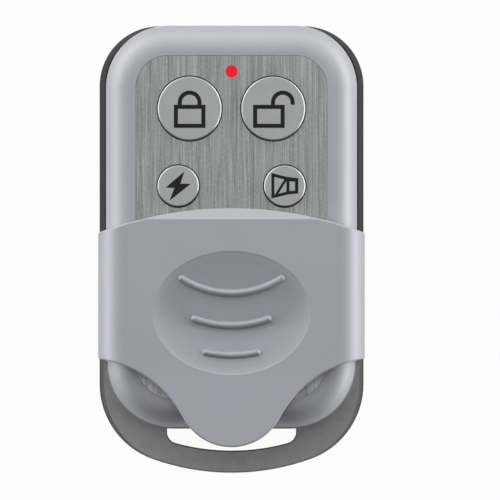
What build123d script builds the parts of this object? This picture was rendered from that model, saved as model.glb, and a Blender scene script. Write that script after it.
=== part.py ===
from build123d import *
import math
import os

os.makedirs("parts", exist_ok=True)

# The fob lies on its back: +Z out of the button side, +Y to the top end, X across.
# The origin is on the back face, in the middle of the plan.

# Plan of the two shells. The battery, which lies across the fob, sets the width.
body_length = 62.0
tail_length = 6.16
shell_top_corner_radius = 8.6
shell_bottom_corner_radius = 9.25
side_ledge = 0.95
base_corner_step = 0.3
base_bottom_corner_radius = 11.07
base_tail_radius = 32.5

# Heights and walls of the two shells. The battery sets the height of the deck.
base_height = 5.0
base_floor = 1.2
base_back_radius = 1.2
base_slope_height = 1.6
base_slope_inset = 0.25
ledge_flat = 0.2
base_cavity_inset = 1.0
shell_wall = 1.5
shell_deck = 1.2
shell_rim_radius = 3.46
tongue_depth = 1.4
tongue_width = 0.8
tongue_rise = 1.2
joint_gap = 0.1
parting_chamfer = 0.2
shell_foot_step = 0.25
shell_foot_setback = 0.5

# Key ring slot in the tail of the rear shell
slot_side_margin = 9.35
tail_bar = 3.04
slot_corner_radius = 1.6
slot_corner_limit_share = 0.95
slot_edge = 0.15

# Brushed plate in the front face
plate_margin = 4.12
plate_thickness = 0.3
plate_gap = 0.05

# Places along the body, as shares of its length from the tail
lead_place_share = 0.59226
small_button_place_share = 0.64145
standoff_place_share = 0.72581
large_button_place_share = 0.81435
led_place_share = 0.89726

# Buttons
large_button_radius = 4.42
small_button_radius = 2.86
large_button_half_gap = 1.36
small_button_x = 7.36
button_gap = 0.16
button_deck_gap = 0.2
button_proud = 0.4
button_edge = 0.16
button_flange_width = 0.7
button_flange_thickness = 0.6
button_flange_gap = 0.1
button_stem_radius = 1.2
button_stem_length = 0.6
button_travel = 0.3
guide_pin_radius = 0.4
guide_pin_length = 1.3
guide_notch_gap = 0.12
symbol_depth = 0.12

# Padlock symbols: shares of the button's radius
padlock_stroke_share = 0.13
padlock_width_share = 0.99
padlock_top_share = 0.116
padlock_foot_share = -0.608
shackle_radius_share = 0.373
shackle_centre_share = 0.188
open_body_shift_share = -0.138
open_shackle_shift_share = 0.297

# Slide cover
cover_wall = 0.91
cover_side_gap = 0.17
cover_plate = 1.75
cover_button_gap = 0.25
cover_side_radius = 3.7
cover_arch_rise = 3.4
cover_bevel_run = 1.54
cover_bevel_drop = 1.15
cover_skirt_setback = 0.49
cover_tongue_overhang = 2.48
cover_tip_radius = 7.5
cover_flank_radius = 15.75
cover_foot_gap = 0.15
cover_edge_radius = 0.25
lip_height = 1.0
lip_reach = 0.64
lip_setback = 0.3
groove_side_gap = 0.15
groove_top_gap = 0.2
groove_end_gap = 0.1
groove_end_margin = 0.88

# Thumb dish in the slide cover, with three grip ribs
dish_half_width = 10.9
dish_half_length = 8.6
dish_setback = 14.48
dish_depth = 0.8
rib_radius = 0.53
rib_sink_share = 0.4

# Case screws and board screws
case_screw_radius = 0.85
case_screw_head_radius = 1.6
case_screw_head_height = 1.1
case_screw_length = 7.4
case_screw_recess = 1.4
screw_gap = 0.1
screw_bite_gap = 0.01
boss_radius = 2.0
drive_width = 0.4
drive_depth = 0.5
board_screw_radius = 0.7
board_screw_head_radius = 1.25
board_screw_head_height = 0.8
board_screw_length = 3.0
standoff_radius = 1.6
standoff_side_setback = 2.22
peg_setback = 2.3
peg_radius = 0.6
peg_rise = 0.8
peg_gap = 0.1

# Circuit board and what stands on it
board_thickness = 1.0
standoff_height = 3.2
board_edge_gap = 0.25
board_battery_gap = 1.5
board_notch_gap = 0.4
switch_side = 4.5
switch_lid = 0.4
switch_floor = 0.4
switch_chamber_radius = 1.75
switch_bore_gap = 0.1
plunger_radius = 1.0
plunger_collar_radius = 1.5
plunger_collar_height = 0.4
plunger_collar_gap = 0.12
switch_foot_width = 0.7
switch_foot_length = 0.6
switch_foot_thickness = 0.2
snap_disc_radius = 1.6
snap_disc_spare_rise = 0.06
snap_disc_thickness = 0.08
snap_disc_gap = 0.14
light_pipe_radius = 0.8
light_pipe_gap = 0.03
light_pipe_flange_radius = 1.4
light_pipe_flange_height = 0.5
light_pipe_crown = 0.12
led_length = 2.0
led_width = 1.25
led_height = 0.9
led_gap = 0.2
chip_length = 8.65
chip_width = 3.9
chip_height = 1.4
chip_gap = 0.515
chip_lift = 0.12
chip_bevel = 0.3
chip_pin_count = 14
chip_pin_pitch = 1.27
chip_pin_width = 0.42
chip_pin_reach = 1.05
chip_pin_thickness = 0.2
transistor_length = 2.9
transistor_width = 1.3
transistor_height = 1.0
transistor_leg_width = 0.4
transistor_leg_reach = 0.5
transistor_leg_thickness = 0.15
transistor_leg_pitch = 1.9
resonator_length = 8.0
resonator_width = 3.2
resonator_height = 2.6
resonator_flange = 0.35
resonator_flange_height = 0.4
resonator_x = -7.2
antenna_turns = 5
antenna_head_gap = 0.68
antenna_wire_radius = 0.3
antenna_pitch = 1.5
antenna_x = 6.6
antenna_lift = 0.02
passive_length = 2.0
passive_width = 1.25
passive_height = 0.6
passive_pitch_x = 2.0
passive_pitch_y = 2.6
passive_columns = 2
passive_rows = 2

# Battery, lying across the fob below the board
battery_radius = 4.0
battery_length = 28.2
battery_skin = 0.1
battery_nub_radius = 1.6
battery_nub_height = 0.8
battery_offset_x = 0.45
battery_floor_gap = 0.3
battery_head_gap = 1.0
battery_boss_gap = 1.66
saddle_end_setback = 5.1
saddle_thickness = 1.2
saddle_side_width = 1.0
saddle_gap = 0.05
hold_down_side_setback = 1.0
contact_thickness = 0.3
contact_edge_gap = 0.34
contact_half_width = 2.8
contact_top_setback = 0.7
contact_arm_length = 1.3
contact_arm_height = 1.6
spring_wire_radius = 0.22
spring_large_radius = 2.5
spring_small_radius = 1.5
spring_turns = 2
spring_gap = 0.03

# How far a cut runs past the surface it starts from
overrun = 1.0

# Worked-out widths, from the battery outwards
battery_left_x = battery_offset_x - battery_length / 2
battery_right_x = battery_offset_x + battery_length / 2
plate_contact_x = battery_right_x + spring_gap
board_half_width = plate_contact_x + contact_thickness + contact_edge_gap
board_inset = base_cavity_inset + joint_gap + tongue_width + board_edge_gap
shell_width = 2 * (board_half_width + board_inset)
base_width = shell_width + 2 * side_ledge
cover_inner_width = shell_width + 2 * cover_side_gap
cover_width = cover_inner_width + 2 * cover_wall
slot_width = base_width - 2 * slot_side_margin
base_slope_run = side_ledge - ledge_flat
base_top_corner_radius = shell_top_corner_radius - base_corner_step

# Worked-out heights, from the floor upwards
battery_z = base_floor + battery_floor_gap + battery_radius
deck_under_z = battery_z + battery_radius + battery_head_gap
plate_bottom_z = deck_under_z + shell_deck
face_z = plate_bottom_z + plate_thickness
shell_height = face_z - base_height
button_top_z = face_z + button_proud
cover_underside_z = button_top_z + cover_button_gap
cover_top_z = cover_underside_z + cover_plate
cover_foot_z = base_height + cover_foot_gap
board_under_z = base_floor + standoff_height
board_top_z = board_under_z + board_thickness
boss_foot_z = base_height - tongue_depth
post_top_z = boss_foot_z - joint_gap
flange_top_z = deck_under_z - button_flange_gap
flange_bottom_z = flange_top_z - button_flange_thickness
plunger_top_z = flange_bottom_z - button_stem_length

# Worked-out places along the body
top_y = body_length / 2
tail_y = -body_length / 2
shell_length = body_length - tail_length
shell_end_y = top_y - shell_length
led_y = tail_y + led_place_share * body_length
large_button_x = large_button_radius + large_button_half_gap
large_button_y = tail_y + large_button_place_share * body_length
small_button_y = tail_y + small_button_place_share * body_length
cover_lead_y = tail_y + lead_place_share * body_length
cover_lead_corner_y = cover_lead_y - cover_arch_rise
cover_skirt_end_y = shell_end_y + shell_bottom_corner_radius + cover_skirt_setback
cover_tip_y = shell_end_y - cover_tongue_overhang
dish_centre_y = cover_lead_y - dish_setback

# Name, X, Y and radius of each button
buttons = [
    ("lock", -large_button_x, large_button_y, large_button_radius),
    ("unlock", large_button_x, large_button_y, large_button_radius),
    ("bolt", -small_button_x, small_button_y, small_button_radius),
    ("horn", small_button_x, small_button_y, small_button_radius),
]

# Each case screw stands on the diagonal of a corner, with its boss against the wall
diagonal_share = math.sqrt(0.5)
top_screw_x = shell_width / 2 - shell_top_corner_radius
top_screw_y = top_y - shell_top_corner_radius
top_screw_run = (shell_top_corner_radius - shell_wall - boss_radius + joint_gap) * diagonal_share
low_screw_x = shell_width / 2 - shell_bottom_corner_radius
low_screw_y = shell_end_y + shell_bottom_corner_radius
low_screw_run = (shell_bottom_corner_radius - shell_wall - boss_radius + joint_gap) * diagonal_share
screw_places = [
    (side * (x + run), y + up * run)
    for side in (-1, 1)
    for x, y, run, up in (
        (top_screw_x, top_screw_y, top_screw_run, 1),
        (low_screw_x, low_screw_y, low_screw_run, -1),
    )
]

# The battery lies clear of the lower screws, and the board ends short of it
battery_y = low_screw_y - low_screw_run + boss_radius + battery_boss_gap + battery_radius
board_end_y = battery_y + battery_radius + board_battery_gap
standoff_x = board_half_width - standoff_side_setback
standoff_screw_y = tail_y + standoff_place_share * body_length
standoff_screw_places = [(side * standoff_x, standoff_screw_y) for side in (-1, 1)]
standoff_peg_places = [(side * standoff_x, board_end_y + peg_setback) for side in (-1, 1)]

# Height and ends of the side grooves, and the travel that they leave the slide cover
groove_height = cover_foot_gap + lip_height + groove_top_gap
groove_low_y = cover_skirt_end_y + lip_setback - groove_end_gap
groove_high_y = top_y - shell_top_corner_radius - groove_end_margin
cover_travel = groove_high_y - groove_end_gap - (cover_lead_corner_y - lip_setback)
print("slide cover travel:", round(cover_travel, 3))

# Saddles under the battery
saddle_places = [(side * (battery_length / 2 - saddle_end_setback), battery_y) for side in (-1, 1)]


def finish(builder, label):
    """Label the finished piece and write its file."""
    builder.part.label = label
    export_step(builder.part, f"parts/{label}.step")


# Plans

def shell_outline(inset):
    """Plan of the front shell, drawn in by inset: a rectangle with two sizes of corner."""
    half_width = shell_width / 2 - inset
    high_y = top_y - inset
    low_y = shell_end_y + inset
    high_radius = shell_top_corner_radius - inset
    low_radius = shell_bottom_corner_radius - inset
    with BuildSketch() as outline:
        with BuildLine():
            Line((0, high_y), (half_width - high_radius, high_y))
            CenterArc((half_width - high_radius, high_y - high_radius), high_radius, 0, 90)
            Line((half_width, high_y - high_radius), (half_width, low_y + low_radius))
            CenterArc((half_width - low_radius, low_y + low_radius), low_radius, 270, 90)
            Line((half_width - low_radius, low_y), (0, low_y))
            mirror(about=Plane.YZ)
        make_face()
    return outline.sketch


def base_outline(side_inset, end_inset):
    """Plan of the rear shell, drawn in by two insets: its lower end is a wide arc between corner arcs."""
    corner_inset = (side_inset + end_inset) / 2
    half_width = base_width / 2 - side_inset
    high_y = top_y - end_inset
    high_radius = base_top_corner_radius - end_inset
    low_radius = base_bottom_corner_radius - corner_inset
    tail_radius = base_tail_radius - end_inset
    low_x = half_width - low_radius
    tail_centre_y = tail_y + base_tail_radius
    drop = math.sqrt((tail_radius - low_radius) ** 2 - low_x**2)
    swing = math.degrees(math.atan2(drop, low_x))
    with BuildSketch() as outline:
        with BuildLine():
            Line((0, high_y), (half_width - high_radius, high_y))
            CenterArc((half_width - high_radius, high_y - high_radius), high_radius, 0, 90)
            Line((half_width, high_y - high_radius), (half_width, tail_centre_y - drop))
            CenterArc((low_x, tail_centre_y - drop), low_radius, -swing, swing)
            CenterArc((0, tail_centre_y), tail_radius, 270, 90 - swing)
            mirror(about=Plane.YZ)
        make_face()
    return outline.sketch


def slot_outline():
    """Plan of the key ring slot: straight above, and below it follows the tail at the bar's width."""
    with BuildSketch() as outline:
        add(base_outline(tail_bar, tail_bar))
        with Locations((0, shell_end_y)):
            Rectangle(slot_width, shell_length, align=(Align.CENTER, Align.MAX), mode=Mode.INTERSECT)
        low_corners = outline.vertices().group_by(Axis.Y)[0]
        side_height = shell_end_y - low_corners[0].Y
        fillet(low_corners, radius=min(slot_corner_radius, slot_corner_limit_share * side_height))
    return outline.sketch


def cover_outline():
    """Plan of the slide cover: arched leading edge, straight sides, and flanks that run into a tongue."""
    half_width = cover_width / 2
    tip_centre_y = cover_tip_y + cover_tip_radius
    # The flank arc is centred outside the cover. It starts at the side's end and touches the tip arc.
    gap_x = half_width
    gap_y = cover_skirt_end_y - tip_centre_y
    gap = math.hypot(gap_x, gap_y)
    reach = cover_tip_radius + cover_flank_radius
    along = (reach**2 - cover_flank_radius**2 + gap**2) / (2 * gap)
    across = math.sqrt(reach**2 - along**2)
    flank_x = (gap_x * along + gap_y * across) / gap
    flank_y = tip_centre_y + (gap_y * along - gap_x * across) / gap
    # Directions, in degrees, from the flank arc's centre to its two ends
    start = math.degrees(math.atan2(cover_skirt_end_y - flank_y, half_width - flank_x))
    end = math.degrees(math.atan2(tip_centre_y - flank_y, -flank_x))
    with BuildSketch() as outline:
        with BuildLine():
            ThreePointArc(
                (-half_width, cover_lead_corner_y),
                (0, cover_lead_y),
                (half_width, cover_lead_corner_y),
            )
            for side in (-1, 1):
                Line((side * half_width, cover_lead_corner_y), (side * half_width, cover_skirt_end_y))
            CenterArc((flank_x, flank_y), cover_flank_radius, start, end - start)
            CenterArc((-flank_x, flank_y), cover_flank_radius, 180 - end, end - start)
            CenterArc((0, tip_centre_y), cover_tip_radius, end - 180, 180 - 2 * end)
        make_face()
    return outline.sketch


def channel_section(width, foot_z, top_z, corner_radius):
    """Cross section of a block with rounded top corners, from its foot to its top."""
    with BuildSketch() as section:
        with Locations((0, foot_z)):
            Rectangle(width, top_z - foot_z, align=(Align.CENTER, Align.MIN))
        fillet(section.vertices().group_by(Axis.Y)[-1], radius=corner_radius)
    return section.sketch


# Rear shell: a tray with the key ring slot, screw posts, board standoffs and battery saddles

slot_plan = slot_outline()

with BuildPart() as rear_shell:
    with BuildSketch():
        add(base_outline(0, 0))
    extrude(amount=base_height - base_slope_height)
    fillet(rear_shell.faces().sort_by(Axis.Z)[0].edges(), radius=base_back_radius)
    # The front edge slopes: wide beside the front shell, and narrow round the two ends
    with BuildSketch(Plane.XY.offset(base_height - base_slope_height)):
        add(base_outline(0, 0))
    with BuildSketch(Plane.XY.offset(base_height)):
        add(base_outline(base_slope_run, base_slope_inset))
    loft(ruled=True)
    with BuildSketch():
        add(slot_plan)
    extrude(amount=base_height, mode=Mode.SUBTRACT)
    with BuildSketch(Plane.XY.offset(base_height - slot_edge)):
        add(slot_plan)
    with BuildSketch(Plane.XY.offset(base_height)):
        add(slot_plan)
        offset(amount=slot_edge, kind=Kind.INTERSECTION)
    loft(mode=Mode.SUBTRACT)
    with BuildSketch(Plane.XY.offset(base_floor)):
        add(shell_outline(base_cavity_inset))
    extrude(amount=base_height, mode=Mode.SUBTRACT)
    with BuildSketch(Plane.XY.offset(base_floor)):
        with Locations(*screw_places):
            Circle(boss_radius)
    extrude(amount=post_top_z - base_floor)
    with BuildSketch(Plane.XY.offset(base_floor)):
        with Locations(*standoff_screw_places, *standoff_peg_places):
            Circle(standoff_radius)
    extrude(amount=board_under_z - base_floor)
    with BuildSketch(Plane.XY.offset(board_under_z)):
        with Locations(*standoff_peg_places):
            Circle(peg_radius)
    extrude(amount=peg_rise + board_thickness)
    with BuildSketch(Plane.XY.offset(base_floor)):
        with Locations(*saddle_places):
            Rectangle(saddle_thickness, 2 * (battery_radius + saddle_side_width))
    extrude(amount=battery_z - battery_radius / 4 - base_floor)
    with BuildSketch(Plane.YZ):
        with Locations((battery_y, battery_z)):
            Circle(battery_radius + saddle_gap)
    extrude(amount=battery_length / 2, both=True, mode=Mode.SUBTRACT)
    with Locations([Plane((x, y, 0), z_dir=(0, 0, -1)) for x, y in screw_places]):
        CounterBoreHole(
            case_screw_radius + screw_gap,
            case_screw_head_radius + screw_gap,
            case_screw_recess,
            depth=post_top_z,
        )
    with BuildSketch(Plane.XY.offset(board_under_z)):
        with Locations(*standoff_screw_places):
            Circle(board_screw_radius + screw_bite_gap)
    extrude(amount=-board_screw_length, mode=Mode.SUBTRACT)
finish(rear_shell, "rear_shell")


# Front shell: the domed frame round the plate, with the deck that carries the buttons

with BuildPart() as front_shell:
    with BuildSketch(Plane.XY.offset(base_height)):
        add(shell_outline(0))
    extrude(amount=shell_height)
    fillet(front_shell.faces().sort_by(Axis.Z)[-1].edges(), radius=shell_rim_radius)
    # A fine chamfer round the foot leaves a shadow line between the two shells
    chamfer(front_shell.faces().sort_by(Axis.Z)[0].edges(), length=parting_chamfer)
    with BuildSketch(Plane.XY.offset(base_height)):
        add(shell_outline(shell_wall))
    extrude(amount=deck_under_z - base_height, mode=Mode.SUBTRACT)
    deck_under = front_shell.faces().filter_by(Plane.XY).filter_by_position(
        Axis.Z, deck_under_z - joint_gap, deck_under_z + joint_gap
    )
    fillet(deck_under.edges(), radius=shell_rim_radius - shell_wall)
    # The tongue stands in the rear shell's mouth and lines the two shells up
    with BuildSketch(Plane.XY.offset(boss_foot_z)):
        add(shell_outline(base_cavity_inset + joint_gap))
        add(shell_outline(base_cavity_inset + joint_gap + tongue_width), mode=Mode.SUBTRACT)
    extrude(amount=tongue_depth + tongue_rise)
    with BuildSketch(Plane.XY.offset(boss_foot_z)):
        with Locations(*screw_places):
            Circle(boss_radius)
    extrude(amount=deck_under_z - boss_foot_z)
    with BuildSketch(Plane.XY.offset(boss_foot_z)):
        with Locations(*screw_places):
            Circle(case_screw_radius + screw_bite_gap)
    extrude(amount=case_screw_length - (post_top_z - case_screw_recess), mode=Mode.SUBTRACT)
    # Two ribs under the deck hold the battery down
    with BuildSketch(Plane.XY.offset(deck_under_z)):
        with Locations(*saddle_places):
            Rectangle(saddle_thickness, 2 * (battery_radius - hold_down_side_setback))
    extrude(amount=battery_z + battery_radius / 2 - deck_under_z)
    with BuildSketch(Plane.YZ):
        with Locations((battery_y, battery_z)):
            Circle(battery_radius + saddle_gap)
    extrude(amount=battery_length / 2, both=True, mode=Mode.SUBTRACT)
    # Two pins beside each button keep it from turning
    with BuildSketch(Plane.XY.offset(deck_under_z)):
        for name, x, y, radius in buttons:
            reach = radius + button_flange_width
            with Locations((x, y + reach), (x, y - reach)):
                Circle(guide_pin_radius)
    extrude(amount=-guide_pin_length)
    with BuildSketch(Plane.XY.offset(plate_bottom_z)):
        add(shell_outline(plate_margin))
    extrude(amount=plate_thickness, mode=Mode.SUBTRACT)
    with BuildSketch(Plane.XY.offset(deck_under_z)):
        for name, x, y, radius in buttons:
            with Locations((x, y)):
                Circle(radius + button_deck_gap)
        with Locations((0, led_y)):
            Circle(light_pipe_radius + light_pipe_gap)
    extrude(amount=shell_deck, mode=Mode.SUBTRACT)
    # Side grooves for the slide cover's lips: their ends are its two stops
    groove_floor_x = cover_width / 2 - cover_wall - lip_reach - groove_side_gap
    with BuildSketch(Plane.XY.offset(base_height)):
        for side in (-1, 1):
            with Locations((side * (groove_floor_x + shell_wall / 2), (groove_low_y + groove_high_y) / 2)):
                Rectangle(shell_wall, groove_high_y - groove_low_y)
    extrude(amount=groove_height, mode=Mode.SUBTRACT)
    # Round the lower end the wall steps in above a foot of the grooves' height
    with BuildSketch(Plane.XY.offset(base_height + groove_height)):
        add(shell_outline(0))
        add(shell_outline(shell_foot_step), mode=Mode.SUBTRACT)
        with Locations((0, groove_low_y - shell_foot_setback)):
            Rectangle(shell_width, shell_length, align=(Align.CENTER, Align.MAX), mode=Mode.INTERSECT)
    extrude(amount=shell_height, mode=Mode.SUBTRACT)
finish(front_shell, "front_shell")


# Brushed plate, let into the front shell

with BuildPart() as face_plate:
    with BuildSketch(Plane.XY.offset(plate_bottom_z)):
        add(shell_outline(plate_margin + plate_gap))
        for name, x, y, radius in buttons:
            with Locations((x, y)):
                Circle(radius + button_gap, mode=Mode.SUBTRACT)
        with Locations((0, led_y)):
            Circle(light_pipe_radius + light_pipe_gap, mode=Mode.SUBTRACT)
    extrude(amount=plate_thickness)
finish(face_plate, "face_plate")


# Slide cover

# Levels of the dish: shares of the depth, the half width, and the length taken off each end
dish_level_shares = [
    (0.0, 1.0, 0.0, 0.0),
    (0.08, 0.977, 0.015, 0.015),
    (0.4, 0.87, 0.13, 0.1),
    (0.75, 0.72, 0.33, 0.22),
    (1.0, 0.5, 0.56, 0.35),
]


def dish_ellipse(level):
    """Depth, half width, half length and centre of the dish at one level."""
    depth_share, width_share, upper_share, lower_share = level
    high_y = dish_centre_y + dish_half_length - 2 * dish_half_length * upper_share
    low_y = dish_centre_y - dish_half_length + 2 * dish_half_length * lower_share
    return (
        depth_share * dish_depth,
        width_share * dish_half_width,
        (high_y - low_y) / 2,
        (high_y + low_y) / 2,
    )


def dish_floor_z(x, y):
    """Height of the dish's floor at a point, between the two levels that it lies between."""
    steps = 40
    reached = 0
    for low, high in zip(dish_level_shares, dish_level_shares[1:]):
        for step in range(steps + 1):
            level = [a + (b - a) * step / steps for a, b in zip(low, high)]
            depth, half_width, half_length, centre_y = dish_ellipse(level)
            if (x / half_width) ** 2 + ((y - centre_y) / half_length) ** 2 <= 1:
                reached = depth
    return cover_top_z - reached


# Shares of the dish's half width and half length: half chord, sag and middle of each rib
rib_shares = [
    (0.635, 0.238, 0.319),
    (0.467, 0.105, -0.2),
    (0.325, 0.047, -0.679),
]

with BuildPart() as slide_cover:
    with BuildSketch(Plane.XZ):
        add(channel_section(cover_width, cover_foot_z, cover_top_z, cover_side_radius))
        add(
            channel_section(
                cover_inner_width, cover_foot_z, cover_underside_z, cover_side_radius - cover_wall
            ),
            mode=Mode.SUBTRACT,
        )
    extrude(amount=body_length, both=True)
    with BuildSketch():
        add(cover_outline())
    extrude(amount=cover_top_z + overrun, mode=Mode.INTERSECT)
    # The lips under the skirts run in the front shell's grooves
    lip_low_y = cover_skirt_end_y + lip_setback
    lip_high_y = cover_lead_corner_y - lip_setback
    lip_width = cover_wall / 2 + lip_reach
    with BuildSketch(Plane.XY.offset(cover_foot_z)):
        for side in (-1, 1):
            lip_x = cover_width / 2 - cover_wall / 2 - lip_width / 2
            with Locations((side * lip_x, (lip_low_y + lip_high_y) / 2)):
                Rectangle(lip_width, lip_high_y - lip_low_y)
    extrude(amount=lip_height)
    # The leading edge is planed off at a slant
    bevel_slope = cover_bevel_drop / cover_bevel_run
    bevel_start_y = cover_lead_y - cover_bevel_run
    with BuildSketch(Plane.YZ):
        with BuildLine():
            Polyline(
                (bevel_start_y - overrun, cover_top_z + overrun * bevel_slope),
                (cover_lead_y + overrun, cover_top_z + overrun * bevel_slope),
                (cover_lead_y + overrun, cover_top_z - cover_bevel_drop - overrun * bevel_slope),
                close=True,
            )
        make_face()
    extrude(amount=cover_width, both=True, mode=Mode.SUBTRACT)
    # Small rounding along the flanks and the tongue
    top_face = slide_cover.faces().filter_by(Plane.XY).sort_by(Axis.Z)[-1]
    tongue_edges = top_face.edges().filter_by(GeomType.CIRCLE)
    fillet(tongue_edges, radius=cover_edge_radius)
    # Thumb dish: a narrow slanting rim, and a smooth hollow below it
    for levels, is_ruled in ((dish_level_shares[:2], True), (dish_level_shares[1:], False)):
        for level in levels:
            depth, half_width, half_length, centre_y = dish_ellipse(level)
            with BuildSketch(Plane.XY.offset(cover_top_z - depth)):
                with Locations((0, centre_y)):
                    Ellipse(half_width, half_length)
        loft(ruled=is_ruled, mode=Mode.SUBTRACT)
    # Grip ribs: half-sunk rods that follow the dish's floor and stay below the cover's top
    rib_limit_z = cover_top_z - rib_radius
    for chord_share, sag_share, middle_share in rib_shares:
        half_chord = chord_share * dish_half_width
        sag = sag_share * dish_half_length
        middle_y = dish_centre_y + middle_share * dish_half_length
        lift = rib_radius * (1 - 2 * rib_sink_share)
        end_z = min(dish_floor_z(half_chord, middle_y + sag) + lift, rib_limit_z)
        middle = Vector(0, middle_y, min(dish_floor_z(0, middle_y) + lift, rib_limit_z))
        ends = [Vector(side * half_chord, middle_y + sag, end_z) for side in (-1, 1)]
        with BuildLine() as rib_path:
            ThreePointArc(ends[0], middle, ends[1])
        with BuildSketch(Plane(origin=rib_path.line @ 0, z_dir=rib_path.line % 0)):
            Circle(rib_radius)
        sweep(path=rib_path.line)
        with Locations(*ends):
            Sphere(rib_radius)
finish(slide_cover, "slide_cover")


# Button caps, each with a flange under the deck, two notches for the guide pins and a short stem

def padlock_symbol(radius, is_open):
    """A padlock drawn in line: a hollow box with a shackle, which an open one has shifted to one side."""
    stroke = padlock_stroke_share * radius
    body_width = padlock_width_share * radius
    body_high = padlock_top_share * radius
    body_low = padlock_foot_share * radius
    shackle_radius = shackle_radius_share * radius
    shackle_centre_y = shackle_centre_share * radius
    body_x = open_body_shift_share * radius if is_open else 0
    shackle_x = open_shackle_shift_share * radius if is_open else 0
    free_foot = body_high if is_open else body_high - stroke
    with BuildSketch() as symbol:
        with Locations((body_x, (body_high + body_low) / 2)):
            Rectangle(body_width, body_high - body_low)
            Rectangle(body_width - 2 * stroke, body_high - body_low - 2 * stroke, mode=Mode.SUBTRACT)
        with BuildLine():
            for reach in (shackle_radius, shackle_radius - stroke):
                CenterArc((shackle_x, shackle_centre_y), reach, 0, 180)
            for side, foot in ((-1, body_high - stroke), (1, free_foot)):
                outer_x = shackle_x + side * shackle_radius
                inner_x = outer_x - side * stroke
                Polyline(
                    (outer_x, shackle_centre_y), (outer_x, foot), (inner_x, foot), (inner_x, shackle_centre_y)
                )
        make_face()
    return symbol.sketch


def bolt_symbol(radius):
    """A lightning bolt."""
    point_shares = [
        (0.30, 0.71),
        (0.107, 0.117),
        (0.607, 0.107),
        (-0.427, -0.714),
        (-0.184, -0.097),
        (-0.607, -0.073),
    ]
    with BuildSketch() as symbol:
        with BuildLine():
            Polyline(*[(x * radius, y * radius) for x, y in point_shares], close=True)
        make_face()
    return symbol.sketch


def horn_symbol(radius):
    """A horn on its side: a flared chamber with a slanting bar, and a square window beside it."""
    outer_shares = [
        (-0.646, 0.636),
        (0.078, 0.447),
        (0.655, 0.383),
        (0.655, -0.359),
        (0.131, -0.413),
        (-0.646, -0.602),
    ]
    chamber_shares = [(-0.5, 0.44), (0.08, 0.29), (0.08, -0.27), (-0.5, -0.42)]
    window_shares = [(0.23, 0.23), (0.5, 0.21), (0.5, -0.22), (0.23, -0.24)]
    bar_shares = [(-0.5, -0.45), (-0.36, -0.45), (0.12, 0.30), (-0.02, 0.32)]
    with BuildSketch() as symbol:
        for shares, mode in (
            (outer_shares, Mode.ADD),
            (chamber_shares, Mode.SUBTRACT),
            (window_shares, Mode.SUBTRACT),
            (bar_shares, Mode.ADD),
        ):
            with BuildLine():
                Polyline(*[(x * radius, y * radius) for x, y in shares], close=True)
            make_face(mode=mode)
    return symbol.sketch


symbols = {
    "lock": padlock_symbol(large_button_radius, False),
    "unlock": padlock_symbol(large_button_radius, True),
    "bolt": bolt_symbol(small_button_radius),
    "horn": horn_symbol(small_button_radius),
}

for name, x, y, radius in buttons:
    reach = radius + button_flange_width
    with BuildPart() as button_cap:
        with BuildSketch(Plane.XY.offset(flange_bottom_z)):
            with Locations((x, y)):
                Circle(radius)
        extrude(amount=button_top_z - flange_bottom_z)
        chamfer(button_cap.faces().sort_by(Axis.Z)[-1].edges(), length=button_edge)
        with BuildSketch(Plane.XY.offset(flange_bottom_z)):
            with Locations((x, y)):
                Circle(reach)
            with Locations((x, y + reach), (x, y - reach)):
                Circle(guide_pin_radius + guide_notch_gap, mode=Mode.SUBTRACT)
        extrude(amount=button_flange_thickness)
        with BuildSketch(Plane.XY.offset(plunger_top_z)):
            with Locations((x, y)):
                Circle(button_stem_radius)
        extrude(amount=flange_bottom_z - plunger_top_z)
        with BuildSketch(Plane.XY.offset(button_top_z - symbol_depth)):
            with Locations((x, y)):
                add(symbols[name])
        extrude(amount=symbol_depth, mode=Mode.SUBTRACT)
    finish(button_cap, f"{name}_button")

    with BuildPart() as button_symbol:
        with BuildSketch(Plane.XY.offset(button_top_z - symbol_depth)):
            with Locations((x, y)):
                add(symbols[name])
        extrude(amount=symbol_depth)
    finish(button_symbol, f"{name}_symbol")


# Push switch under each button: housing, plunger and snap disc

snap_disc_rise = button_travel + snap_disc_spare_rise
chamber_low_z = board_top_z + switch_floor
collar_bottom_z = chamber_low_z + snap_disc_rise + snap_disc_thickness + snap_disc_gap
collar_top_z = collar_bottom_z + plunger_collar_height
chamber_high_z = collar_top_z + plunger_collar_gap

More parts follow.
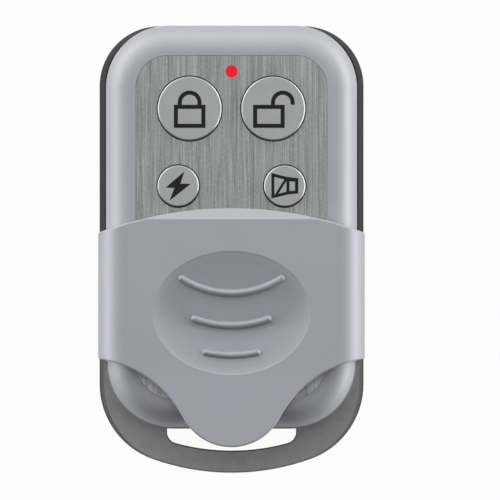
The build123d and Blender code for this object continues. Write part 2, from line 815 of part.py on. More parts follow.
for name, x, y, radius in buttons:
    with BuildPart() as switch_housing:
        with BuildSketch(Plane.XY.offset(board_top_z)):
            with Locations((x, y)):
                Rectangle(switch_side, switch_side)
        extrude(amount=chamber_high_z + switch_lid - board_top_z)
        with BuildSketch(Plane.XY.offset(board_top_z)):
            for side in (-1, 1):
                for end in (-1, 1):
                    foot_x = x + side * (switch_side / 2 + switch_foot_length / 2)
                    foot_y = y + end * (switch_side / 2 - switch_foot_width)
                    with Locations((foot_x, foot_y)):
                        Rectangle(switch_foot_length, switch_foot_width)
        extrude(amount=switch_foot_thickness)
        with BuildSketch(Plane.XY.offset(chamber_low_z)):
            with Locations((x, y)):
                Circle(switch_chamber_radius)
        extrude(amount=chamber_high_z - chamber_low_z, mode=Mode.SUBTRACT)
        with BuildSketch(Plane.XY.offset(chamber_high_z)):
            with Locations((x, y)):
                Circle(plunger_radius + switch_bore_gap)
        extrude(amount=switch_lid, mode=Mode.SUBTRACT)
    finish(switch_housing, f"{name}_switch_housing")

    with BuildPart() as switch_plunger:
        with BuildSketch(Plane.XY.offset(collar_bottom_z)):
            with Locations((x, y)):
                Circle(plunger_collar_radius)
        extrude(amount=plunger_collar_height)
        with BuildSketch(Plane.XY.offset(collar_top_z)):
            with Locations((x, y)):
                Circle(plunger_radius)
        extrude(amount=plunger_top_z - collar_top_z)
    finish(switch_plunger, f"{name}_switch_plunger")

    with BuildPart() as snap_disc:
        disc_sphere = (snap_disc_radius**2 + snap_disc_rise**2) / (2 * snap_disc_rise)
        disc_swing = math.degrees(math.asin(snap_disc_radius / disc_sphere))
        disc_centre = (x, chamber_low_z + snap_disc_rise - disc_sphere)
        with BuildSketch(Plane.XZ.offset(-y)):
            with BuildLine():
                under = CenterArc(disc_centre, disc_sphere, 90 - disc_swing, disc_swing)
                over = CenterArc(disc_centre, disc_sphere + snap_disc_thickness, 90 - disc_swing, disc_swing)
                Line(under @ 0, over @ 0)
                Line(under @ 1, over @ 1)
            make_face()
        revolve(axis=Axis((x, y, 0), (0, 0, 1)))
    finish(snap_disc, f"{name}_snap_disc")


# Light pipe and indicator

led_top_z = board_top_z + led_height

with BuildPart() as led_light_pipe:
    with BuildSketch(Plane.XY.offset(led_top_z + led_gap)):
        with Locations((0, led_y)):
            Circle(light_pipe_radius)
    extrude(amount=face_z - led_top_z - led_gap)
    fillet(led_light_pipe.faces().sort_by(Axis.Z)[-1].edges(), radius=light_pipe_crown)
    with BuildSketch(Plane.XY.offset(deck_under_z)):
        with Locations((0, led_y)):
            Circle(light_pipe_flange_radius)
    extrude(amount=-light_pipe_flange_height)
finish(led_light_pipe, "led_light_pipe")

with BuildPart() as indicator_led:
    with BuildSketch(Plane.XY.offset(board_top_z)):
        with Locations((0, led_y)):
            Rectangle(led_length, led_width)
    extrude(amount=led_height)
finish(indicator_led, "indicator_led")


# Circuit board and its parts

with BuildPart() as circuit_board:
    with BuildSketch(Plane.XY.offset(board_under_z)):
        add(shell_outline(board_inset))
        with Locations((0, board_end_y)):
            Rectangle(shell_width, shell_length, align=(Align.CENTER, Align.MAX), mode=Mode.SUBTRACT)
        with Locations(*screw_places):
            Circle(boss_radius + board_notch_gap, mode=Mode.SUBTRACT)
        with Locations(*standoff_screw_places):
            Circle(board_screw_radius + screw_gap, mode=Mode.SUBTRACT)
        with Locations(*standoff_peg_places):
            Circle(peg_radius + peg_gap, mode=Mode.SUBTRACT)
    extrude(amount=board_thickness)
finish(circuit_board, "circuit_board")

def chip_pins():
    """One pair of bent pins, seen from the chip's end."""
    shoulder_z = board_top_z + chip_height / 2
    with BuildSketch() as pair:
        for side in (-1, 1):
            root_x = side * (chip_width / 2 - chip_bevel)
            bend_x = side * (chip_width / 2 + chip_pin_reach / 2)
            tip_x = side * (chip_width / 2 + chip_pin_reach)
            inner_x = bend_x - side * chip_pin_thickness
            with BuildLine():
                Polyline(
                    (root_x, shoulder_z),
                    (bend_x, shoulder_z),
                    (bend_x, board_top_z + chip_pin_thickness),
                    (tip_x, board_top_z + chip_pin_thickness),
                    (tip_x, board_top_z),
                    (inner_x, board_top_z),
                    (inner_x, shoulder_z - chip_pin_thickness),
                    (root_x, shoulder_z - chip_pin_thickness),
                    close=True,
                )
            make_face()
    return pair.sketch


chip_y = large_button_y - switch_side / 2 - chip_gap - chip_length / 2
with BuildPart() as encoder_chip:
    with BuildSketch(Plane.XY.offset(board_top_z + chip_lift)):
        with Locations((0, chip_y)):
            Rectangle(chip_width, chip_length)
    extrude(amount=chip_height)
    chamfer(encoder_chip.faces().sort_by(Axis.Z)[-1].edges(), length=chip_bevel)
    pins_per_side = chip_pin_count // 2
    first_pin_y = chip_y - (pins_per_side - 1) * chip_pin_pitch / 2
    for number in range(pins_per_side):
        with BuildSketch(Plane.XZ.offset(-first_pin_y - number * chip_pin_pitch)):
            add(chip_pins())
        extrude(amount=chip_pin_width / 2, both=True)
finish(encoder_chip, "encoder_chip")

# The transistor stands between the two large switches
with BuildPart() as rf_transistor:
    with BuildSketch(Plane.XY.offset(board_top_z + transistor_leg_thickness)):
        with Locations((0, large_button_y)):
            Rectangle(transistor_length, transistor_width)
    extrude(amount=transistor_height)
    leg_y = transistor_width / 2
    with BuildSketch(Plane.XY.offset(board_top_z)):
        with Locations(
            (0, large_button_y + leg_y),
            (-transistor_leg_pitch / 2, large_button_y - leg_y),
            (transistor_leg_pitch / 2, large_button_y - leg_y),
        ):
            Rectangle(transistor_leg_width, 2 * transistor_leg_reach)
    extrude(amount=2 * transistor_leg_thickness)
finish(rf_transistor, "rf_transistor")

# The resonator, the resistors and the antenna share the free strip below the small switches
strip_y = (board_end_y + small_button_y - switch_side / 2) / 2

with BuildPart() as saw_resonator:
    with BuildSketch(Plane.XY.offset(board_top_z)):
        with Locations((resonator_x, strip_y)):
            SlotOverall(resonator_length + 2 * resonator_flange, resonator_width + 2 * resonator_flange)
    extrude(amount=resonator_flange_height)
    with BuildSketch(Plane.XY.offset(board_top_z)):
        with Locations((resonator_x, strip_y)):
            SlotOverall(resonator_length, resonator_width)
    extrude(amount=resonator_height)
finish(saw_resonator, "saw_resonator")

with BuildPart() as coil_antenna:
    antenna_height = deck_under_z - antenna_head_gap - board_top_z - antenna_lift
    antenna_radius = antenna_height / 2 - antenna_wire_radius
    antenna_z = board_top_z + antenna_lift + antenna_height / 2
    with BuildLine() as antenna_path:
        Helix(
            pitch=antenna_pitch,
            height=antenna_turns * antenna_pitch,
            radius=antenna_radius,
            center=(antenna_x - antenna_turns * antenna_pitch / 2, strip_y, antenna_z),
            direction=(1, 0, 0),
        )
    with BuildSketch(Plane(origin=antenna_path.line @ 0, z_dir=antenna_path.line % 0)):
        Circle(antenna_wire_radius)
    sweep(path=antenna_path.line, is_frenet=True)
finish(coil_antenna, "coil_antenna")

with BuildPart() as chip_resistors:
    with BuildSketch(Plane.XY.offset(board_top_z)):
        with Locations((0, strip_y)):
            with GridLocations(passive_pitch_x, passive_pitch_y, passive_columns, passive_rows):
                Rectangle(passive_width, passive_length)
    extrude(amount=passive_height)
finish(chip_resistors, "chip_resistors")


# Battery with its sleeve, and its two contacts

can_length = battery_length - battery_nub_height

with BuildPart() as battery_cell:
    with BuildSketch(Plane.YZ.offset(battery_left_x)):
        with Locations((battery_y, battery_z)):
            Circle(battery_radius - battery_skin)
    extrude(amount=can_length)
    with BuildSketch(Plane.YZ.offset(battery_left_x)):
        with Locations((battery_y, battery_z)):
            Circle(battery_nub_radius)
    extrude(amount=battery_length)
finish(battery_cell, "battery_cell")

with BuildPart() as battery_sleeve:
    with BuildSketch(Plane.YZ.offset(battery_left_x)):
        with Locations((battery_y, battery_z)):
            Circle(battery_radius)
            Circle(battery_radius - battery_skin, mode=Mode.SUBTRACT)
    extrude(amount=can_length)
finish(battery_sleeve, "battery_sleeve")

spring_contact_x = -plate_contact_x - contact_thickness

for name, start_x in (("battery_plate_contact", plate_contact_x), ("battery_spring_plate", spring_contact_x)):
    with BuildPart() as contact:
        with BuildSketch(Plane.YZ.offset(start_x)):
            with Locations((battery_y, base_floor)):
                Rectangle(
                    2 * contact_half_width,
                    battery_z + battery_radius - contact_top_setback - base_floor,
                    align=(Align.CENTER, Align.MIN),
                )
            with Locations((battery_y, board_top_z)):
                Rectangle(
                    board_end_y + contact_arm_length - battery_y,
                    contact_arm_height,
                    align=(Align.MIN, Align.MIN),
                )
        extrude(amount=contact_thickness)
    finish(contact, name)

with BuildPart() as battery_spring:
    spring_start_x = spring_contact_x + contact_thickness + spring_gap + spring_wire_radius
    spring_height = battery_left_x - spring_gap - spring_wire_radius - spring_start_x
    with BuildLine() as spring_path:
        Helix(
            pitch=spring_height / spring_turns,
            height=spring_height,
            radius=spring_large_radius,
            center=(spring_start_x, battery_y, battery_z),
            direction=(1, 0, 0),
            cone_angle=-math.degrees(math.atan2(spring_large_radius - spring_small_radius, spring_height)),
        )
    with BuildSketch(Plane(origin=spring_path.line @ 0, z_dir=spring_path.line % 0)):
        Circle(spring_wire_radius)
    sweep(path=spring_path.line, is_frenet=True)
finish(battery_spring, "battery_spring")


# Screws, each set in one group

with BuildPart() as case_screws:
    with BuildSketch(Plane.XY.offset(case_screw_recess)):
        with Locations(*screw_places):
            Circle(case_screw_radius)
    extrude(amount=case_screw_length)
    with BuildSketch(Plane.XY.offset(case_screw_recess)):
        with Locations(*screw_places):
            Circle(case_screw_head_radius)
    extrude(amount=-case_screw_head_height)
    with BuildSketch(Plane.XY.offset(case_screw_recess - case_screw_head_height)):
        with Locations(*screw_places):
            Rectangle(case_screw_head_radius, drive_width)
            Rectangle(drive_width, case_screw_head_radius)
    extrude(amount=drive_depth, mode=Mode.SUBTRACT)
finish(case_screws, "case_screws")

with BuildPart() as board_screws:
    with BuildSketch(Plane.XY.offset(board_top_z)):
        with Locations(*standoff_screw_places):
            Circle(board_screw_radius)
    extrude(amount=-board_screw_length)
    with BuildSketch(Plane.XY.offset(board_top_z)):
        with Locations(*standoff_screw_places):
            Circle(board_screw_head_radius)
    extrude(amount=board_screw_head_height)
    with BuildSketch(Plane.XY.offset(board_top_z + board_screw_head_height)):
        with Locations(*standoff_screw_places):
            Rectangle(board_screw_head_radius, drive_width)
            Rectangle(drive_width, board_screw_head_radius)
    extrude(amount=-drive_depth, mode=Mode.SUBTRACT)
finish(board_screws, "board_screws")
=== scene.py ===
# %% [markdown]
# # An alarm key fob with a slide cover
#
# The fob lies on its back on a pale table, and the camera looks straight down on its buttons.
# The solid parts arrive ready made, at their real size. This notebook gives each of them its
# finish, then adds the soft light, the table and the camera.

import math

import bpy
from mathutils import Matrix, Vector

MM = 0.001


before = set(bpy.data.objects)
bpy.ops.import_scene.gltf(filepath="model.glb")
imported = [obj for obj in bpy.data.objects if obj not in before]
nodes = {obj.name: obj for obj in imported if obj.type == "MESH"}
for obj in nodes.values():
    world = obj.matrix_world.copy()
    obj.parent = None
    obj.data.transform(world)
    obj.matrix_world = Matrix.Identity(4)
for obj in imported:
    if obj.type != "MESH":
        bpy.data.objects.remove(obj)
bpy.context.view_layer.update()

# %% [markdown]
# ## Starting a finish
#
# Every finish below is a small network of nodes. Wiring nodes by hand is slow to read, so a few
# helpers do it: one starts a material, one adds a node with its values, and one puts the finish on
# its parts. Colours are written in the usual 0 to 255 steps, as a paint program shows them, and
# another helper turns them into the values that the renderer counts with.

# %% Helpers for a material, a node and a colour


def new_material(name, **shader_values):
    """A material whose main shader has its plain values set on its own sockets."""
    material = bpy.data.materials.new(name)
    material.use_nodes = True
    shader = material.node_tree.nodes["Principled BSDF"]
    for socket, value in shader_values.items():
        shader.inputs[socket.replace("_", " ")].default_value = value
    return material, material.node_tree, shader


def add_node(tree, kind, inputs=None, **settings):
    """One node, with its settings, and its inputs given as values or as other nodes' outputs."""
    node = tree.nodes.new(kind)
    for key, value in settings.items():
        setattr(node, key, value)
    for key, value in (inputs or {}).items():
        if isinstance(value, bpy.types.NodeSocket):
            tree.links.new(value, node.inputs[key])
        else:
            node.inputs[key].default_value = value
    return node


def linear(*srgb):
    """A colour given in the usual 0 to 255 steps, as the renderer counts it, by the sRGB curve."""
    foot, slope, offset, power = 11, 12.92, 0.055, 2.4
    return tuple(
        c / 255 / slope if c < foot else ((c / 255 + offset) / (1 + offset)) ** power for c in srgb
    ) + (1.0,)


def times(colour, factor):
    """A colour made darker or lighter."""
    return tuple(min(c * factor, 1) for c in colour[:3]) + (1,)


def wear(material, names):
    """Put a finish on parts."""
    for name in names:
        part = nodes[name]
        part.data.materials.clear()
        part.data.materials.append(material)
    print(material.name, "on", ", ".join(names))


print("a middle grey, as the renderer counts it:", round(linear(128, 128, 128)[0], 3))

# %% [markdown]
# ## Patterns
#
# Patterns read the part's own coordinates in metres, so a grain has a real size, and it stays on the
# part when the part moves. One cloudy noise serves for all of them: fine and even it is a grain, and
# stretched along one axis it draws brush lines. Its values seldom leave a middle band, so colours
# and gloss are spread over that band. A bump lets a pattern stand up a few thousandths of a
# millimetre, which is too fine to model.

# %% Helpers for patterns
MIDDLE_BAND = (0.3, 0.7)


def object_space(tree, scale=(1, 1, 1)):
    """The part's own coordinates, stretched."""
    place = add_node(tree, "ShaderNodeTexCoord").outputs["Object"]
    return add_node(tree, "ShaderNodeMapping", {"Vector": place, "Scale": scale}).outputs["Vector"]


def noise(tree, vector, per_metre, detail=3.0, roughness=0.5):
    """A cloudy pattern between 0 and 1, with about `per_metre` bumps to the metre."""
    values = {"Vector": vector, "Scale": per_metre, "Detail": detail, "Roughness": roughness}
    return add_node(tree, "ShaderNodeTexNoise", values).outputs["Fac"]


def ramp(tree, value, stops):
    """Colours along a value, given as (place, colour) stops."""
    node = add_node(tree, "ShaderNodeValToRGB", {"Fac": value})
    elements = node.color_ramp.elements
    while len(elements) < len(stops):
        elements.new(0.5)
    for element, (place, colour) in zip(elements, stops):
        element.position = place
        element.color = colour
    return node.outputs["Color"]


def two_tone(tree, value, first, last, band=MIDDLE_BAND):
    """One colour below a pattern's middle band, another above it, and a blend within it."""
    return ramp(tree, value, [(band[0], first), (band[1], last)])


def spread(tree, value, low, high, band=MIDDLE_BAND):
    """A pattern's middle band, stretched to run from low to high."""
    values = {"Value": value, "From Min": band[0], "From Max": band[1], "To Min": low, "To Max": high}
    return add_node(tree, "ShaderNodeMapRange", values).outputs["Result"]


def bump(tree, shader, height, distance):
    """Let a pattern stand up from the surface by a distance in metres."""
    node = add_node(tree, "ShaderNodeBump", {"Height": height, "Distance": distance, "Strength": 1.0})
    tree.links.new(node.outputs["Normal"], shader.inputs["Normal"])


print("patterns are spread over the band", MIDDLE_BAND)

# %% [markdown]
# ## Colours that change over a part
#
# Some parts aren't the same colour all over, and some carry painted light or painted shade: a brighter end of
# the plate, a darker dish, and the dark sides of the rear shell.
# A second material on some of the faces would end in a hard line. So the helpers ask where on the
# part a point lies, as a share between 0 and 1, and mix another colour in as far as the share says.

# %% Helpers for colour by place


def share_along(tree, axis, start, end):
    """A value that runs from 0 at start to 1 at end, along the part's own axis."""
    place = add_node(tree, "ShaderNodeTexCoord").outputs["Object"]
    along = add_node(tree, "ShaderNodeSeparateXYZ", {0: place}).outputs[axis]
    return spread(tree, along, 0.0, 1.0, band=(start, end))


def share_in_oval(tree, centre_y, half_width, half_length, rim):
    """A value that is 1 in an oval on the part's middle line, and fades to 0 over its rim."""
    place = add_node(tree, "ShaderNodeTexCoord").outputs["Object"]
    values = {
        "Vector": place,
        "Scale": (1 / half_width, 1 / half_length, 0),
        "Location": (0, -centre_y / half_length, 0),
    }
    in_oval = add_node(tree, "ShaderNodeMapping", values).outputs["Vector"]
    distance = add_node(tree, "ShaderNodeVectorMath", {0: in_oval}, operation="LENGTH").outputs["Value"]
    return spread(tree, distance, 1.0, 0.0, band=(1.0 - rim, 1.0))


def change_colour(tree, shader, share, colour, way="MIX"):
    """Mix another colour into the surface, or multiply by it, as far as a share says."""
    first = shader.inputs["Base Color"].links[0].from_socket
    values = {"Factor": share, "A": first, "B": colour}
    both = add_node(tree, "ShaderNodeMix", values, data_type="RGBA", blend_type=way)
    tree.links.new(both.outputs["Result"], shader.inputs["Base Color"])


def blend_along(tree, shader, axis, colour, start, end):
    """Let the colour turn into another one along the part's own axis, from start to end."""
    change_colour(tree, shader, share_along(tree, axis, start, end), colour)


print("colours can change along X, Y and Z, and in an oval")

# %% [markdown]
# ## Satin silver paint
#
# The front shell and the slide cover are cast metal with a sprayed, slightly metallic paint. It
# could be a plain grey plastic shader, but then the rounded sides would not catch the lamps as the
# paint's flakes do. So the shader is partly metallic with a broad sheen. Fine speckle in the colour
# stands for the flakes, and a faint ripple in the surface for the way sprayed paint settles. The
# slanting edge at the cover's upper end is a more neutral grey than the rest of the cover. The dish
# is painted a little darker, as painted shade, and the tongue is a little lighter.

# %% Silver paint
CLOUD_TINT = (0.97, 0.97, 0.97, 1)
WHITE = (1, 1, 1, 1)


def satin_paint(name, colour, metallic=0.4, roughness=0.55, flake=0.03):
    """Sprayed paint: flakes in the colour, uneven gloss and a faint ripple."""
    material, tree, shader = new_material(name, Metallic=metallic, IOR=1.45)
    space = object_space(tree)
    speckle = noise(tree, space, per_metre=9000, detail=2)
    cloud = noise(tree, space, per_metre=160)
    flakes = two_tone(tree, speckle, times(colour, 1 - flake), times(colour, 1 + flake))
    tree.links.new(flakes, shader.inputs["Base Color"])
    change_colour(tree, shader, 1.0, two_tone(tree, cloud, CLOUD_TINT, WHITE), way="MULTIPLY")
    uneven = spread(tree, cloud, roughness - 0.03, roughness + 0.03)
    tree.links.new(uneven, shader.inputs["Roughness"])
    bump(tree, shader, noise(tree, space, per_metre=1400, detail=2), distance=0.004 * MM)
    return material, tree, shader


cover_paint, cover_tree, cover_shader = satin_paint("cover_paint", linear(159, 159, 167))
blend_along(cover_tree, cover_shader, "Y", linear(154, 156, 157), start=4.1 * MM, end=4.25 * MM)
# Painted shade: the colour in the dish is multiplied darker, fading out over its rim.
dish_shade = share_in_oval(
    cover_tree, centre_y=-8.75 * MM, half_width=10.9 * MM, half_length=8.6 * MM, rim=0.12
)
change_colour(cover_tree, cover_shader, dish_shade, (0.89, 0.89, 0.905, 1), way="MULTIPLY")
# The colour turns a little lighter towards the tongue.
tongue = share_along(cover_tree, "Y", start=-16 * MM, end=-19 * MM)
change_colour(cover_tree, cover_shader, tongue, (1.05, 1.05, 1.07, 1), way="MULTIPLY")
wear(cover_paint, ["slide_cover"])
wear(satin_paint("shell_paint", linear(160, 161, 166))[0], ["front_shell"])

# %% [markdown]
# ## Dark rear shell
#
# The rear shell is sprayed in a much darker grey, and from the front only its sloping edge and the
# key loop show. The loop's flat face is a lighter grey. The sloping edge, the lowest edge and the
# flat strips along the sides are painted darker than that face, as painted shade. The colours are
# mixed by the part's own height and length, so the light face keeps to the loop and fades into the
# painted shade along the sides.

# %% Dark paint, a lighter loop face, and painted shade on the slope and sides
base_paint, base_tree, base_shader = satin_paint(
    "base_paint", linear(26, 26, 27), metallic=0.0, roughness=0.6, flake=0.05
)
base_shader.inputs["Specular IOR Level"].default_value = 0.3
plain_colour = base_shader.inputs["Base Color"].links[0].from_socket
tone_cloud = noise(base_tree, object_space(base_tree), per_metre=900, detail=4)
# Painted shade: the sloping edge is a middle-dark grey.
slope_shade_colour = two_tone(base_tree, tone_cloud, linear(62, 62, 62), linear(70, 70, 70))
face_colour = two_tone(base_tree, tone_cloud, linear(140, 140, 140), linear(149, 149, 149))
base_tree.links.new(slope_shade_colour, base_shader.inputs["Base Color"])
blend_along(base_tree, base_shader, "Z", face_colour, start=4.93 * MM, end=4.99 * MM)
# Painted shade: below the slope, the lowest edge turns to the darkest grey.
blend_along(base_tree, base_shader, "Z", plain_colour, start=3.95 * MM, end=3.75 * MM)
# Painted shade: towards the upper end, the strips beside the front shell turn to the darkest grey.
blend_along(base_tree, base_shader, "Y", plain_colour, start=-14.5 * MM, end=-9 * MM)
wear(base_paint, ["rear_shell"])

# %% [markdown]
# ## Brushed plate
#
# The plate is thin metal, brushed from end to end before it is stamped. The brush leaves fine
# lines that run along the fob, each a little lighter or darker and a few millimetres long. A noise
# that is stretched along Y draws such lines. Two sizes of line and a loose grain are mixed, because
# one size of line alone looks like a printed pattern. Towards the tail, where the cover's shadow
# falls, the metal is painted brighter, as painted light.

# %% Brushed metal


def brushed_metal(name, colour, contrast):
    """Metal with brush lines along Y."""
    material, tree, shader = new_material(name, Metallic=0.8, IOR=1.45)
    fine = noise(tree, object_space(tree, (1, 0.022, 1)), per_metre=6400, roughness=0.6)
    broad = noise(tree, object_space(tree, (1, 0.007, 1)), per_metre=1500, detail=4, roughness=0.8)
    grain = noise(tree, object_space(tree, (1, 0.3, 1)), per_metre=8000, detail=2)
    lines = add_node(tree, "ShaderNodeMix", {"Factor": 0.5, "A": fine, "B": broad}).outputs["Result"]
    grained = add_node(tree, "ShaderNodeMix", {"Factor": 0.2, "A": lines, "B": grain}).outputs["Result"]
    stops = [(0.4, times(colour, 1 - contrast)), (0.5, colour), (0.6, times(colour, 1 + contrast))]
    tree.links.new(ramp(tree, grained, stops), shader.inputs["Base Color"])
    tree.links.new(spread(tree, fine, 0.34, 0.48), shader.inputs["Roughness"])
    bump(tree, shader, fine, distance=0.006 * MM)
    return material, tree, shader


plate_metal, plate_tree, plate_shader = brushed_metal("brushed_plate", linear(142, 144, 143), contrast=0.4)
# Painted light: the plate is made brighter towards the tail, where the cover's shadow falls.
plate_light_end = share_along(plate_tree, "Y", start=-9 * MM, end=-18 * MM)
change_colour(plate_tree, plate_shader, plate_light_end, (1.22, 1.2, 1.21, 1), way="MULTIPLY")
wear(plate_metal, ["face_plate"])

# %% [markdown]
# ## Button caps
#
# The caps are turned from light metal and then tumbled, so they are smoother and a little lighter
# than the plate. Only a very fine grain is left. The bright ring on each cap needs no paint: it is
# the chamfer, which faces the lamps at the sides. The dark ring outside it is the gap in the plate,
# and the cap metal below the plate's face is painted dark there, as painted shade in the gap.

# %% Tumbled metal caps
CAPS = ["lock", "unlock", "bolt", "horn"]


def tumbled_metal(name, colour):
    """Smooth metal with a very fine grain and slightly uneven gloss."""
    material, tree, shader = new_material(name, Metallic=0.8, IOR=1.45)
    space = object_space(tree)
    grain = noise(tree, space, per_metre=7000, detail=2)
    cloud = noise(tree, space, per_metre=420, detail=2)
    stains = two_tone(tree, cloud, times(colour, 0.95), colour, band=(0.35, 0.65))
    tree.links.new(stains, shader.inputs["Base Color"])
    tree.links.new(spread(tree, grain, 0.3, 0.4), shader.inputs["Roughness"])
    bump(tree, shader, grain, distance=0.002 * MM)
    return material, tree, shader


cap_metal, cap_tree, cap_shader = tumbled_metal("cap_metal", linear(154, 156, 155))
# Painted shade: the cap metal turns dark below the plate's face, in the gap around each cap.
blend_along(cap_tree, cap_shader, "Z", linear(22, 22, 22), start=12.1 * MM, end=11.9 * MM)
wear(cap_metal, [f"{cap}_button" for cap in CAPS])

# %% [markdown]
# ## Dark filler in the symbols
#
# Each symbol is sunk into its cap and filled with dark enamel. The filler could be a flat black,
# but real filler is slightly grainy and dull, so one helper makes such moulded or filled stuff. It
# also serves the plastic parts inside the fob.

# %% Moulded and filled materials


def moulded(name, colour, roughness, specular=0.5):
    """Plain moulded or filled material, with a fine grain and slightly uneven gloss."""
    material, tree, shader = new_material(name, IOR=1.46, Specular_IOR_Level=specular)
    grain = noise(tree, object_space(tree), per_metre=2500)
    tree.links.new(two_tone(tree, grain, times(colour, 0.85), colour), shader.inputs["Base Color"])
    tree.links.new(spread(tree, grain, roughness - 0.05, roughness + 0.05), shader.inputs["Roughness"])
    bump(tree, shader, grain, distance=0.003 * MM)
    return material


wear(moulded("symbol_filler", linear(24, 25, 25), 0.7, specular=0.2), [f"{cap}_symbol" for cap in CAPS])

# %% [markdown]
# ## The red window
#
# A clear red light pipe ends level with the plate, and the lamp under it is on in the picture. The
# window is given its own glow, so that it stays an even, strong red under any light.

# %% Lit red window
window, window_tree, window_shader = new_material(
    "red_window", Roughness=0.3, IOR=1.3, Emission_Strength=0.7
)
window_cloud = noise(window_tree, object_space(window_tree), per_metre=1800, detail=2)
glow = two_tone(window_tree, window_cloud, linear(250, 8, 24), linear(255, 14, 32))
tinted = two_tone(window_tree, window_cloud, linear(90, 1, 3), linear(100, 2, 4))
window_tree.links.new(tinted, window_shader.inputs["Base Color"])
window_tree.links.new(glow, window_shader.inputs["Emission Color"])
wear(window, ["led_light_pipe"])

# %% [markdown]
# ## The inside
#
# Nobody sees the inside while the fob is shut, but the parts are there, and each gets the finish of
# its kind: moulded plastic, plated steel, copper wire or green board.

# %% Finishes of the inner parts
for finish_name, colour, roughness, names in (
    ("moulded_black", linear(34, 34, 35), 0.55, ["encoder_chip", "rf_transistor", "chip_resistors"]),
    ("switch_black", linear(40, 40, 42), 0.5, [f"{cap}_switch_housing" for cap in CAPS]),
    ("switch_grey", linear(150, 150, 154), 0.5, [f"{cap}_switch_plunger" for cap in CAPS]),
    ("board_green", linear(30, 92, 55), 0.35, ["circuit_board"]),
    ("lamp_milk", linear(235, 228, 220), 0.4, ["indicator_led"]),
    ("sleeve_blue", linear(52, 62, 120), 0.3, ["battery_sleeve"]),
):
    wear(moulded(finish_name, colour, roughness), names)

STEEL = ["battery_cell", "saw_resonator", "case_screws", "board_screws", "battery_spring"]
CONTACTS = ["battery_plate_contact", "battery_spring_plate"] + [f"{cap}_snap_disc" for cap in CAPS]
wear(brushed_metal("plated_steel", linear(205, 204, 200), contrast=0.12)[0], STEEL + CONTACTS)
wear(tumbled_metal("copper_wire", linear(196, 120, 74))[0], ["coil_antenna"])

# %% [markdown]
# ## Light
#
# The painted sides are bright to the left, to the right and at the top end, and dark towards the
# tail. A studio does this with large soft boxes and one black card. The boxes stand low, because a
# rounded edge seen from above shows what lies near the table. Each is given the brightness of its
# surface, where 1 is the white of paper, and its power follows from its area. Places and sizes are
# in metres.

# %% Soft boxes


def face_origin(place):
    """The turn that points a lamp or a card at the fob."""
    return (-Vector(place)).to_track_quat("-Z", "Y")


def soft_box(name, place, width, height, brightness):
    """A large lamp with an even face."""
    data = bpy.data.lights.new(name, "AREA")
    data.shape = "RECTANGLE"
    data.size, data.size_y = width, height
    data.energy = math.pi * width * height * brightness
    lamp = bpy.data.objects.new(name, data)
    lamp.location = place
    lamp.rotation_mode = "QUATERNION"
    lamp.rotation_quaternion = face_origin(place)
    lamp.visible_camera = False
    bpy.context.collection.objects.link(lamp)
    print(name, "watts:", round(data.energy, 1))


soft_box("overhead", (0, 0.6, 1.6), width=2.4, height=1.8, brightness=0.39)
soft_box("left_low", (-1.6, 0.65, 0.35), width=2.8, height=0.7, brightness=3.9)
soft_box("left_middle", (-1.5, 0.3, 0.9), width=2.6, height=1.2, brightness=1.1)
soft_box("right_low", (1.6, 0.2, 0.35), width=3.0, height=0.7, brightness=5.4)
soft_box("top_low", (0, 1.6, 0.35), width=3.0, height=0.7, brightness=1.1)
soft_box("top_middle", (0, 1.5, 0.9), width=2.6, height=1.2, brightness=0.65)

# %% [markdown]
# ## Background, table and card
#
# The picture's ground is plain white. Making it white with more light would also wash out the fob,
# so the world and the table are shown as white, to the camera and in reflections, and light the
# fob at their own lower level. The table keeps a part of its real shading, and so the fob's shadow.

# %% White world with an even light
EVEN_STRENGTH = 0.41


def seen_directly(tree):
    """1 where a camera, glossy or transmission ray looks, and 0 for the light that falls on things."""
    rays = add_node(tree, "ShaderNodeLightPath").outputs
    either = {0: rays["Is Camera Ray"], 1: rays["Is Glossy Ray"]}
    first = add_node(tree, "ShaderNodeMath", either, operation="MAXIMUM").outputs[0]
    either = {0: first, 1: rays["Is Transmission Ray"]}
    return add_node(tree, "ShaderNodeMath", either, operation="MAXIMUM").outputs[0]


world = bpy.data.worlds.new("studio")
bpy.context.scene.world = world
world.use_nodes = True
sky = world.node_tree
sky.nodes.clear()
even = add_node(sky, "ShaderNodeBackground", {"Color": WHITE, "Strength": EVEN_STRENGTH})
white = add_node(sky, "ShaderNodeBackground", {"Color": WHITE, "Strength": 1.0})
choice = add_node(
    sky, "ShaderNodeMixShader", {0: seen_directly(sky), 1: even.outputs[0], 2: white.outputs[0]}
)
add_node(sky, "ShaderNodeOutputWorld", {"Surface": choice.outputs[0]})
print("light of the world:", EVEN_STRENGTH, "and it is seen as white")

# %% [markdown]
# ### Table
#
# The table is one large flat face. A window is left open in it under the fob, where the fob covers
# it from above, so that the back with its screws can also be looked at from below. The face is inset,
# the inner face is drawn down to the window's size, and then it is deleted. The table lies a hair
# above the fob's back, because two faces in the same plane would flicker where both are seen.

# %% Table
TABLE_SIZE = 8.0
TABLE_INSET = TABLE_SIZE / 4
TABLE_HEIGHT = 0.01 * MM
WINDOW_WIDTH, WINDOW_LENGTH = 28.8 * MM, 49.9 * MM
WINDOW_Y = 2.95 * MM
WHITE_SHARE = 0.96

bpy.ops.object.select_all(action="DESELECT")
bpy.ops.mesh.primitive_plane_add(size=TABLE_SIZE, location=(0, 0, 0))
table = bpy.context.object
table.name = "table_top"
bpy.ops.object.mode_set(mode="EDIT")
bpy.ops.mesh.inset(thickness=TABLE_INSET)
inner = TABLE_SIZE - 2 * TABLE_INSET
bpy.ops.transform.resize(value=(WINDOW_WIDTH / inner, WINDOW_LENGTH / inner, 1), center_override=(0, 0, 0))
bpy.ops.transform.translate(value=(0, WINDOW_Y, 0))
bpy.ops.mesh.delete(type="ONLY_FACE")
bpy.ops.object.mode_set(mode="OBJECT")
table.location.z = TABLE_HEIGHT
print("table corners and faces:", len(table.data.vertices), len(table.data.polygons))

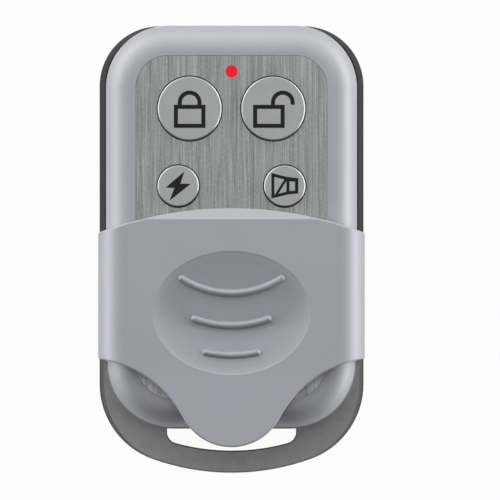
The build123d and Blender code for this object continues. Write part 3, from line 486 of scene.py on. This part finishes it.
# %% White table paint that keeps the shadow
table_white, table_tree, table_shader = new_material(
    "table_white", Base_Color=(0.9, 0.9, 0.9, 1), Roughness=0.9, IOR=1.3
)
glare = add_node(table_tree, "ShaderNodeEmission", {"Color": WHITE, "Strength": 1.0})
share = add_node(
    table_tree, "ShaderNodeMath", {0: seen_directly(table_tree), 1: WHITE_SHARE}, operation="MULTIPLY"
)
blend = add_node(
    table_tree, "ShaderNodeMixShader", {0: share.outputs[0], 1: table_shader.outputs[0], 2: glare.outputs[0]}
)
table_tree.links.new(blend.outputs[0], table_tree.nodes["Material Output"].inputs["Surface"])
table.data.materials.append(table_white)
print("share of the table that is shown as plain white:", WHITE_SHARE)

# %% [markdown]
# ### Black card
#
# The rounded end under the cover's tongue is darker than any other side. The card stands low on the
# tail's side and keeps the light of that side off, and the camera itself can't see it.

# %% Black card on the tail side
CARD_PLACE = (0, -0.5, 0.45)
CARD_SIZE = (1.6, 1.2, 1)

bpy.ops.mesh.primitive_plane_add(size=1.0, location=(0, 0, 0))
card = bpy.context.object
card.name = "black_card"
card.scale = CARD_SIZE
card.location = CARD_PLACE
card.rotation_mode = "QUATERNION"
card.rotation_quaternion = face_origin(CARD_PLACE)
card.visible_camera = False
black = new_material("card_black", Base_Color=(0.01, 0.01, 0.01, 1), Roughness=1.0, Specular_IOR_Level=0.0)[0]
card.data.materials.append(black)
print("card at", CARD_PLACE, "metres, size", CARD_SIZE[:2])

# %% [markdown]
# ## Camera
#
# The picture is taken from straight above, and the fob fills nearly all of its height. A long lens
# from two metres away keeps the sides from leaning. The frame is 500 steps wide, and the fob's 62 mm
# take 448 of them. The fob's middle lies a little to the left of the frame's middle, so the camera
# stands a little to the right.

# %% Camera
FRAME_STEPS = 500
STEP = 62.0 / 448 * MM
FOB_MIDDLE = (231.5, 249.5)
FRAME_WIDTH = FRAME_STEPS * STEP
DISTANCE = 2.0
FACE_HEIGHT = 10 * MM
SENSOR_WIDTH = 36.0

camera_data = bpy.data.cameras.new("camera")
camera_data.sensor_width = SENSOR_WIDTH
camera_data.lens = SENSOR_WIDTH * DISTANCE / FRAME_WIDTH
camera_data.clip_end = 5 * DISTANCE
camera = bpy.data.objects.new("camera", camera_data)
camera.location = (
    (FRAME_STEPS / 2 - FOB_MIDDLE[0]) * STEP,
    (FOB_MIDDLE[1] - FRAME_STEPS / 2) * STEP,
    FACE_HEIGHT + DISTANCE,
)
bpy.context.collection.objects.link(camera)
bpy.context.scene.camera = camera
bpy.context.scene.view_settings.view_transform = "Standard"
print("frame width in mm:", round(FRAME_WIDTH / MM, 2))
